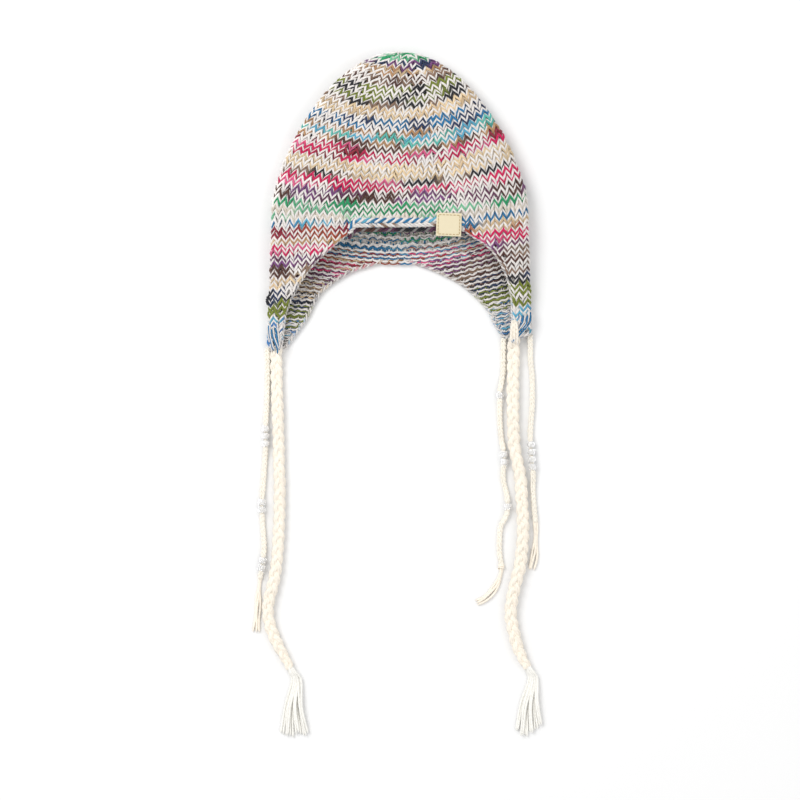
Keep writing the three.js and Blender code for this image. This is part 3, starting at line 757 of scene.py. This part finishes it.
def make_tassel(tie, material):
    """The tie's yarns below its end: gathered at the head, then in locks of two that fan out on the floor."""
    route, _ = route_points(tie["route"], 1.0)
    forwards = unit(route[-1] - route[-4])
    down = np.array([math.sin(TASSEL_TURN), -math.cos(TASSEL_TURN), 0])
    sideways = np.array([-down[1], down[0], 0])
    head = route[-1] + forwards * (PIECE_GAP + TASSEL_HEAD_LENGTH / 2)
    yarn = Yarn(f"{tie['side']}_tassel_yarns")
    for index, (side, short) in enumerate(tie["locks"]):
        reach = TASSEL_LENGTH * (1 - short)
        layer = LOCK_LAYER * (index % 2)
        for part, beside in enumerate([-LOCK_HALF_WIDTH, LOCK_HALF_WIDTH]):
            gathered = 1.1 * (index - 2.5) + 0.4 * beside
            first = head - forwards * (TASSEL_HEAD_LENGTH / 2 + 1.5) + sideways * gathered * 0.75
            knots = [first, head + sideways * gathered]
            knots[0][2] = knots[1][2] = 3.4 + 0.9 * layer * (1 if part else 0.7)
            for direction, (forth, spread, lift) in zip([forwards, down, down], LOCK_COURSE):
                aside = spread * side * TASSEL_LENGTH + beside + rng.normal(0, 0.35)
                point = head + direction * forth * reach + sideways * aside
                point[2] = 1.75 + 0.95 * lift * layer + 0.25 * part
                knots.append(point)
            knots[-1] += down * rng.uniform(-2.2, 0.6)
            place, along = route_points(knots, 1.6)
            taper = LOCK_YARN_RADIUS - 0.12 * along / along[-1]
            thick = taper * np.minimum(1, (along[-1] - along) / 2.5 + 0.12)
            yarn.strand(place, UP, thick, cream_dye(len(place), shade="pale"), YARN_SIDES, 5.1 * index)
    return yarn.build(material, "cream_wool", f"{tie['side']}_tassel")


def make_beads(cord, material, sides=28):
    """Round beads with flat ends and a wide bore, turned on the line of their cord."""
    half = BEAD_LENGTH / 2
    radius = BEAD_DIAMETER / 2
    bore = BEAD_BORE / 2
    lip = math.acos((bore + 0.1) / radius)
    outer = [(radius * math.cos(a), min(half, radius * math.sin(a))) for a in np.linspace(lip, 0, 9)[:-1]]
    profile = [(bore, 0.0), (bore, outer[0][1] - 0.2), *outer, (radius, 0.0)]
    ring = profile + [(out, -along) for out, along in reversed(profile[1:-1])]
    count = len(ring)
    faces = [(side * count + i, side * count + (i + 1) % count,
              (side + 1) % sides * count + (i + 1) % count, (side + 1) % sides * count + i)
             for side in range(sides) for i in range(count)]
    path, along_path = route_points(cord["route"], 0.5)
    beads = []
    for index, place in enumerate(cord["beads"], 1):
        middle, ahead, behind = (sample(at, along_path, path) for at in (place, place + 0.5, place - 0.5))
        forwards = unit(ahead - behind)
        sideways = unit(np.cross(forwards, UP))
        upward = np.cross(sideways, forwards)
        outwards = [math.cos(a) * sideways + math.sin(a) * upward for a in TAU * np.arange(sides) / sides]
        points = [middle + out * outward + along * forwards for outward in outwards for out, along in ring]
        name = f"{cord['name']}_clear_bead_{index}"
        mesh = smooth_mesh(name, np.array(points) * MM, faces)
        beads.append(add_piece(name, mesh, material, "clear_bead", f"{cord['name']}_bead_{index}"))
    return beads


def label_frame():
    """The label's middle, and the directions across, up and out of it."""
    angles = np.linspace(0, 1, 400)
    row = -LABEL_DROP / ROW_HEIGHT
    angle = float(np.interp(LABEL_X, wall_point(angles, np.zeros(400))[:, 0], angles))
    outward = wall_normal(np.array([angle]), np.array([row]))[0]
    low, high = (np.array(corner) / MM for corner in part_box("label"))
    across = np.array([math.cos(LABEL_TURN), math.sin(LABEL_TURN), 0])
    across = unit(across - outward * across.dot(outward))
    return (low + high) / 2, across, np.cross(outward, across), outward


def label_faces(count):
    """Faces of two square grids of points, back to back, and of the edge between them."""
    back = count * count
    faces = []
    last = count - 1
    for a in [j * count + i for j in range(last) for i in range(last)]:
        faces.append((a, a + 1, a + count + 1, a + count))
        faces.append((back + a, back + a + count, back + a + count + 1, back + a + 1))
    border = ([(0, i) for i in range(last)] + [(i, last) for i in range(last)]
              + [(last, last - i) for i in range(last)] + [(last - i, 0) for i in range(last)])
    border = [j * count + i for j, i in border]
    for a, b in zip(border, border[1:] + border[:1]):
        faces.append((a, a + back, b + back, b))
    return faces


def make_label(cloth, thread):
    """A woven label with soft edges, and the border of short stitches that holds it."""
    middle, across, upward, outward = label_frame()

    def on_label(u, v, out):
        height = out + 0.14 - LABEL_BOW * (u * u + 0.6 * v * v)
        return middle + across * u * LABEL_WIDTH / 2 + upward * v * LABEL_HEIGHT / 2 + outward * height

    shares = -np.cos(np.linspace(0, math.pi, 19))
    points = []
    for face in (1, -1):
        for v in shares:
            for u in shares:
                inside = min((1 - abs(u)) * LABEL_WIDTH, (1 - abs(v)) * LABEL_HEIGHT) / 2
                half = LABEL_THICKNESS / 2 * min(1, 0.35 + inside / 0.5)
                puff = 0.07 * math.sin(7 * u + 2) * math.cos(5 * v)
                points.append(on_label(u, v, face * half + (puff if face > 0 else 0)) * MM)
    mesh = smooth_mesh("sewn_label", points, label_faces(len(shares)))
    add_piece("sewn_label", mesh, cloth, "label_cloth", "label")
    stitches = Yarn("label_stitches")
    bend = np.linspace(0, 1, 7)
    for span, other, flat in [(LABEL_WIDTH, LABEL_HEIGHT, True), (LABEL_HEIGHT, LABEL_WIDTH, False)]:
        length = span - 2 * BORDER_INSET
        number = int(length / BORDER_PITCH)
        for fixed in (2 * BORDER_INSET / other - 1, 1 - 2 * BORDER_INSET / other):
            for index in range(number):
                start = -length / 2 + (index + 0.5) * length / number - BORDER_STITCH / 2
                along = 2 * (start + BORDER_STITCH * bend) / span
                rise = 0.34 + 0.3 * np.sin(math.pi * bend)
                path = [on_label(a, fixed, r) if flat else on_label(fixed, a, r) for a, r in zip(along, rise)]
                stitches.strand(path, outward, BORDER_THREAD, DYES["thread"], YARN_SIDES)
    stitches.build(thread, "label_cloth")


def spool(dyes, stitches):
    """Dyed runs of a few stitches each, as places along the yarn in rows and their colours."""
    places = []
    colours = []
    at = 0.0
    for length, names in dyes:
        end = at + length
        turn = int(rng.integers(len(names)))
        while at < end - 1e-6:
            run = min(end - at, rng.integers(3, 8) / stitches)
            tone = rng.uniform(0.76, 1.02)
            blur = min(0.3 * run, 0.6 / stitches)
            colour = DYES[names[turn % len(names)]] * tone
            places += [at + blur, at + run - blur]
            colours += [colour, colour]
            at += run
            turn += 1
    return np.array(places), np.array(colours)


CROWN_CHART = spool(CROWN_DYES, SECTORS * SECTOR_STITCHES)
FLAP_CHARTS = {"left": spool(LEFT_FLAP_DYES, FLAP_STITCHES), "right": spool(RIGHT_FLAP_DYES, FLAP_STITCHES)}


def sector_stitches(row):
    """How many stitches of the usual width fill a sector at rows."""
    return np.clip(wales.perimeter(row) / (SECTORS * STITCH_WIDTH), 1, SECTOR_STITCHES)


def stitch_bounds(row):
    """Where the stitches of a row start and end round the tube, with decreases at the ends of the sectors."""
    wanted = float(sector_stitches(row))
    count = max(1, int(wanted + 0.5))
    inside = np.arange(count) / max(wanted, count - 0.5)
    bounds = [(sector - 0.5 + inside) / SECTORS for sector in range(SECTORS)]
    return np.append(np.concatenate(bounds), (SECTORS - 0.5) / SECTORS)


def slow_noise(places, spacing, size):
    """Smooth noise along a yarn, with a new value at each spacing of places."""
    knots = np.arange(places[0], places[-1] + 2 * spacing, spacing)
    return np.interp(places, knots, rng.normal(0, size, len(knots)))


def knit_run(yarn, bounds, row, dyes_at, edges=None, painted_light_and_thickness=1.0):
    """Adds the two strands of a run of stitches: a dyed one, and an off-white one half a row above it.

    The two turn round each other slowly, and the floor presses them flat. edges gives the shares that the
    strands stay between at their rows, and the last argument makes the off-white strand thicker, and lighter
    in colour as painted light against the shade inside the hat.
    """
    stitches = len(bounds) - 1
    places = np.arange(stitches * LOOP_SAMPLES + 1) / LOOP_SAMPLES
    stitch = np.minimum(places.astype(int), stitches - 1)
    turn = TAU * (places - stitch - 0.5)
    width = (bounds[1:] - bounds[:-1])[stitch]
    middle = (bounds[1:] + bounds[:-1])[stitch] / 2
    sector = (np.floor(middle * SECTORS + 0.5) - 0.5) / SECTORS

    def uneven(name, spacing=OFTEN):
        return slow_noise(places, spacing, UNEVEN[name])

    lean = LOOP_LEAN * (1 + uneven("lean"))
    across = turn / TAU + lean * np.sin(2 * turn) + LOOP_SQUARENESS * np.sin(4 * turn)
    across += uneven("across")
    up = LOOP_HEIGHT * (np.cos(turn) - LOOP_FLATNESS * np.cos(3 * turn))
    up = up * (1 + uneven("height")) + uneven("lift", 1)
    tone = rng.uniform(0.97, 1.03) + uneven("white", 3)[:, None]
    # Painted light: inside the hat this off-white is lightened against the shade that falls there
    white = painted_light_and_thickness * DYES["white"] * tone
    round_each_other = slow_noise(places, SELDOM, STRAND_TURN)
    dyes = dyes_at(middle + width * across)
    start = rng.uniform(0, 8)
    for side, dye in [(-1, dyes), (1, white)]:
        beside = side * STRAND_RISE * np.cos(round_each_other)
        above = side * STRAND_DEPTH * np.sin(round_each_other)
        rows = row + (up + beside + uneven("strand", 1)) / ROW_HEIGHT
        crowding = (sector_stitches(row) / sector_stitches(rows)) ** WALE_LEAN
        shares = sector + (middle + width * across - sector) * crowding
        if edges:
            shares = np.clip(shares, *edges(rows))
        angles = wales.angle(shares, rows)
        relief = above - LOOP_RELIEF * np.cos(2 * turn) + uneven("relief")
        path, normals = off_wall(angles, rows, relief)
        thick = STRAND_RADIUS * (1 - 0.16 * np.cos(2 * turn) + 0.4 * above + uneven("thickness"))
        thick = thick * painted_light_and_thickness ** side
        path[:, 2] = np.maximum(path[:, 2], thick)
        yarn.strand(path, normals, thick, dye, start=start + 3 * side)


def cover_decreases(yarn, row, dyes_at):
    """Bars of yarn behind a row where stitches run out at the ends of the sectors, so that no holes show."""
    for sector in range(SECTORS):
        reach = STITCH_WIDTH / wales.perimeter(row)
        shares = (sector + 0.5) / SECTORS + np.linspace(-1, 1, 9) * reach
        for offset in BAR_ROWS:
            rows = np.full(9, row + offset)
            path, normals = off_wall(wales.angle(shares, rows), rows, -BAR_DEPTH)
            yarn.strand(path, normals, BAR_RADIUS, dyes_at(shares))


def close_top(yarn):
    """The last loops are drawn together by a coil of yarn at the very top."""
    share = np.linspace(0, 1, COIL_SAMPLES)
    turns = np.linspace(0, COIL_TURNS * TAU, COIL_SAMPLES)
    rows = np.linspace(CROWN_ROWS - 1.1, CROWN_ROWS - 0.1, COIL_SAMPLES)
    dye = np.interp(share, [0, 0.5, 1], [1.0, 0.8, 1.0])[:, None] * DYES["green"]
    yarn.strand(*off_wall(turns, rows), COIL_RADIUS, dye)


def knit_crown(material):
    """The crown's courses, in four pieces. The two lowest run over the back alone, as far as the flaps."""
    parts = {}
    for row in range(-BACK_ROWS, CROWN_ROWS):
        middle = row + 0.5
        bounds = stitch_bounds(max(middle, 0.5))
        right_fold, left_fold = np.searchsorted(bounds, [0.25, 0.75])
        level = "lower" if row < UPPER_PIECES_FROM else "upper"
        runs = {"front": np.append(bounds[left_fold:-1] - 1, bounds[:right_fold + 1]),
                "back": bounds[right_fold:left_fold + 1]}
        if row < 0:
            angles = wales.angle(bounds, np.full_like(bounds, middle))
            runs = {"back": bounds[crown_edge_row(angles) < middle]}

        def dyes_at(shares):
            return sample(row + BACK_ROWS + np.mod(shares + 0.5, 1), *CROWN_CHART)

        for layer, run in runs.items():
            part = f"crown_{layer}_{level}"
            yarn = parts.setdefault(part, Yarn(part))
            knit_run(yarn, run, middle, dyes_at, painted_light_and_thickness=INSIDE_PAINTED_LIGHT_AND_THICKNESS if layer == "back" else 1.0)
        if row >= DECREASES_FROM:
            cover_decreases(yarn, middle, dyes_at)
    close_top(yarn)
    first, *others = parts.values()
    first.build(material, "multicolour_knit", "crown")
    for yarn in others:
        yarn.build(material, "multicolour_knit")


def fold_angle(side):
    return TAU * (0.25 if side == "right" else 0.75)


def flap_reach(side, row):
    """Angles of a flap's front and back edge at a row, going the way that angles grow."""
    fold = fold_angle(side)
    reaches = []
    for layer in ("front", "back"):
        angle = fold
        for _ in range(6):
            edge = crown_edge_row(angle)
            depth = np.clip((edge - row) / (edge + FLAP_ROWS), 0, 1)
            reach = np.arccos(1 - flap_share(f"{side}_{layer}", depth))
            forwards = (layer == "back") == (side == "right")
            angle = fold + (reach if forwards else -reach)
        reaches.append(float(angle))
    return min(reaches), max(reaches)


def knit_flap(side, chart, material):
    """The courses of a flap, from its front edge round the fold to its back edge."""
    yarn = Yarn(f"{side}_flap_stitches")
    bounds = stitch_bounds(0.5)
    levels = np.linspace(-FLAP_ROWS, 1, 91)
    limits = np.array([[wales.share(angle, row) for angle in flap_reach(side, row)] for row in levels])
    inset = EDGE_INSET / wales.perimeter(0)

    def edges(rows):
        return np.interp(rows, levels, limits[:, 0]) + inset, np.interp(rows, levels, limits[:, 1]) - inset

    for level in range(int(FLAP_ROWS)):
        row = -level - 0.5
        low, high = (wales.share(angle, row) for angle in flap_reach(side, row))
        spare = 0.45 * (bounds[1] - bounds[0])
        inside = bounds[(bounds > low + spare) & (bounds < high - spare)]

        def dyes_at(shares):
            return sample(level + (shares - low) / (high - low), *chart)

        knit_run(yarn, np.concatenate([[low], inside, [high]]), row, dyes_at, edges)
    yarn.build(material, "multicolour_knit", f"{side}_ear_flap")


def rope(yarn, path, normals, dyes, pitch, reach, radius):
    """Strands twisted round an edge, which look like its slanted edge stitches."""
    along = distances(path)
    sideways = unit(np.cross(unit(np.gradient(path, axis=0)), normals))
    for index, dye in enumerate(dyes):
        phase = TAU * (along / pitch + index / len(dyes)) + slow_noise(along, 6, 0.12)
        place = path + reach * (np.cos(phase)[:, None] * sideways + np.sin(phase)[:, None] * normals)
        yarn.strand(place, normals, radius, dye, start=5 * index)


def resample(angles, rows, spacing):
    """Angles and rows a spacing apart along the path on the wall that they give."""
    along = distances(wall_point(angles, rows))
    places = np.linspace(0, along[-1], int(along[-1] / spacing))
    return np.interp(places, along, angles), np.interp(places, along, rows)


def make_rim(material):
    """The chain along the rolled front rim, a pale row below it, and the dark yarns in the gap behind: partly
    plum, black and brown yarn, partly painted shade of that gap.
    """
    rim = Yarn("front_rim_edge")
    left_end = math.asin(FLAP_REACHES["left_front"][0] - 1) - RIM_OVERLAP
    right_end = math.asin(1 - FLAP_REACHES["right_front"][0]) + RIM_OVERLAP
    share = np.linspace(0, 1, 200)
    for edge in RIM_ROPES:
        drop = RIM_END_DROP * (1 - ease(share, 0, RIM_END_SHARE) + ease(share, 1 - RIM_END_SHARE, 1))
        angles, rows = resample(lerp(left_end, right_end, share), edge["row"] - drop, 0.8)
        path, normals = off_wall(angles, rows, edge["out"])
        chart = spool([(len(path), edge["colours"])], 1 / 5)
        colours = {"dyed": sample(np.arange(len(path)), *chart), "white": DYES["white"]}
        strands = [tone * colours[kind] for kind, tone in edge["strands"]]
        rope(rim, path, normals, strands, edge["pitch"], edge["reach"], edge["radius"])
    rim.build(material, "multicolour_knit")


def add_nub(yarn):
    """A small knot of dark yarn that stands out from the left fold."""
    share = np.linspace(0, 1, 26)
    rows = NUB_ROW - NUB_ROWS * share
    angles = fold_angle("left") + 0.02 * np.cos(9 * share)
    out = NUB_REACH * np.sin(math.pi * share) ** 0.4 + 0.9 * np.sin(5 * TAU * share)
    yarn.strand(*off_wall(angles, rows, out), NUB_RADIUS, DYES["black"])


def flap_outline(side):
    """Angles and rows round a flap, from its front edge at the rim to its back edge."""
    steps = np.linspace(0, 1, 60)
    reaches = np.array([flap_reach(side, -FLAP_ROWS * step) for step in steps])
    front, back = (reaches[:, 1], reaches[:, 0]) if side == "left" else (reaches[:, 0], reaches[:, 1])
    across = np.linspace(front[-1], back[-1], 20)[1:-1]
    angles = np.concatenate([front, across, back[::-1]])
    rows = -FLAP_ROWS * np.concatenate([steps, np.ones(18), steps[::-1]])
    return angles, np.minimum(rows, crown_edge_row(angles))


def add_tip_yarns(yarn, side, route, diameter):
    """Yarn ends of a flap's last rows that are worked into the start of its tie."""
    fold = fold_angle(side)
    reach = flap_reach(side, -FLAP_ROWS)[0 if side == "right" else 1] - fold
    start = np.array(route[0])
    for index in range(TIP_YARNS):
        share = (index + 0.5) / TIP_YARNS
        rows = -FLAP_ROWS + np.array([rng.uniform(3, 4.5), rng.uniform(2, 2.8)])
        angles = fold + reach * (0.1 + 0.75 * share) + np.array([0, 0.05 * reach])
        knots, _ = off_wall(angles, rows, TIP_YARN_OUT)
        beside = (share - 0.5) * 0.7 * diameter * (1 if side == "left" else -1) + rng.normal(0, 0.7)
        length = rng.uniform(2, 7)
        top = math.sqrt(diameter * diameter / 4 - beside * beside)
        end = start + (beside, -0.3 * length, top)
        middle = (knots[-1] + end) / 2 + 0.5 * UP
        last = end + (rng.normal(0, 1), -0.7 * length, -0.6)
        place, along = route_points([*knots, middle, end, last], 0.9)
        thick = TIP_YARN_RADIUS * np.minimum(1, (along[-1] - along) / 2 + 0.15)
        dye = DYES["blue" if index % 2 else "white"] * rng.uniform(0.85, 1)
        yarn.strand(place, UP, thick, dye, start=index)


def make_selvedge(material):
    """The edge stitches round each flap and across the back, and the yarn ends at the flap tips."""
    edges = Yarn("selvedge")
    add_nub(edges)
    outlines = {side: flap_outline(side) for side in FLAP_CHARTS}
    white = DYES["white"]
    for side, chart in FLAP_CHARTS.items():
        angles, rows = resample(*outlines[side], 1.0)
        dye = sample(np.clip(-rows + 0.5, 0, FLAP_ROWS), *chart)
        dyes = [(dye + white) / 2, white * 0.92]
        rope(edges, *off_wall(angles, rows, -0.5), dyes, FLAP_EDGE_PITCH, 1.0, 1.0)
    ends = [outlines[side][0][-1] for side in ("right", "left")]
    angles, rows = resample(np.linspace(*ends, 40), np.full(40, BACK_EDGE_ROW), 1.0)
    dyes = [white * DYES["tan"], white]
    rope(edges, *off_wall(angles, rows), dyes, BACK_EDGE_PITCH, 1.0, 1.0)
    for tie in TIES:
        add_tip_yarns(edges, tie["side"], tie["route"], tie["diameter"])
    for beside in TIE_YARNS_BESIDE:
        course = [(share * beside, up, rise) for share, up, rise in TIE_YARN_COURSE]
        knots = np.array(RIGHT_TIE_ROUTE[0]) + np.array(course)
        place, _ = route_points(knots, 0.9)
        edges.strand(place, UP, TIE_YARN_RADIUS, cream_dye(len(place)), start=beside)
    edges.build(material, "multicolour_knit")


def make_floor():
    half = FLOOR_HALF
    corners = [(-half, -half, 0), (half, -half, 0), (half, half, 0), (-half, half, 0)]
    mesh = smooth_mesh("floor", corners, [(0, 1, 2, 3)])
    look = Look("pale_floor")
    look.shade(Base_Color=(FLOOR_TONE, FLOOR_TONE, FLOOR_TONE, 1), Roughness=0.9, Specular_IOR_Level=0.1)
    mesh.materials.append(look.material)
    floor = add_object("floor", mesh)
    floor.location.z = -FLOOR_DROP


def make_light():
    world = bpy.data.worlds.new("studio")
    world.use_nodes = True
    background = world.node_tree.nodes["Background"]
    background.inputs["Color"].default_value = (1, 1, 1, 1)
    background.inputs["Strength"].default_value = WORLD_BRIGHTNESS
    bpy.context.scene.world = world
    for lamp in LIGHTS:
        data = bpy.data.lights.new(lamp["name"], "AREA")
        data.size = lamp["size"]
        data.energy = lamp["power"]
        light = add_object(lamp["name"], data)
        light.location = lamp["place"]
        aim = Vector(LIGHT_AIM) - Vector(lamp["place"])
        light.rotation_euler = aim.to_track_quat("-Z", "Y").to_euler()
    bpy.context.scene.view_settings.view_transform = "Standard"


make_camera()
# The last number of each wool is how far painted shade darkens the grooves between its plies
wool = make_wool("cream_wool_yarn", 5.0, 0.35, 0.02)
knit_wool = make_wool("dyed_wool_yarn", 4.4, 0.7, 0.07)
clear = make_clear()
plaits = [make_tie(tie, wool) for tie in TIES]
thin_plaits = [make_thin_cord(cord, wool) for cord in THIN_CORDS]
tassels = [make_tassel(tie, wool) for tie in TIES]
strings = [make_beads(cord, clear) for cord in THIN_CORDS]
for piece, tie, tassel in zip(plaits, TIES, tassels):
    declare_cord(tie["route"])
for piece, cord, beads in zip(thin_plaits, THIN_CORDS, strings):
    declare_cord(cord["route"])
knit_crown(knit_wool)
for side, chart in FLAP_CHARTS.items():
    knit_flap(side, chart, knit_wool)
make_rim(knit_wool)
make_selvedge(knit_wool)
make_label(make_label_cloth(), wool)
make_floor()
make_light()
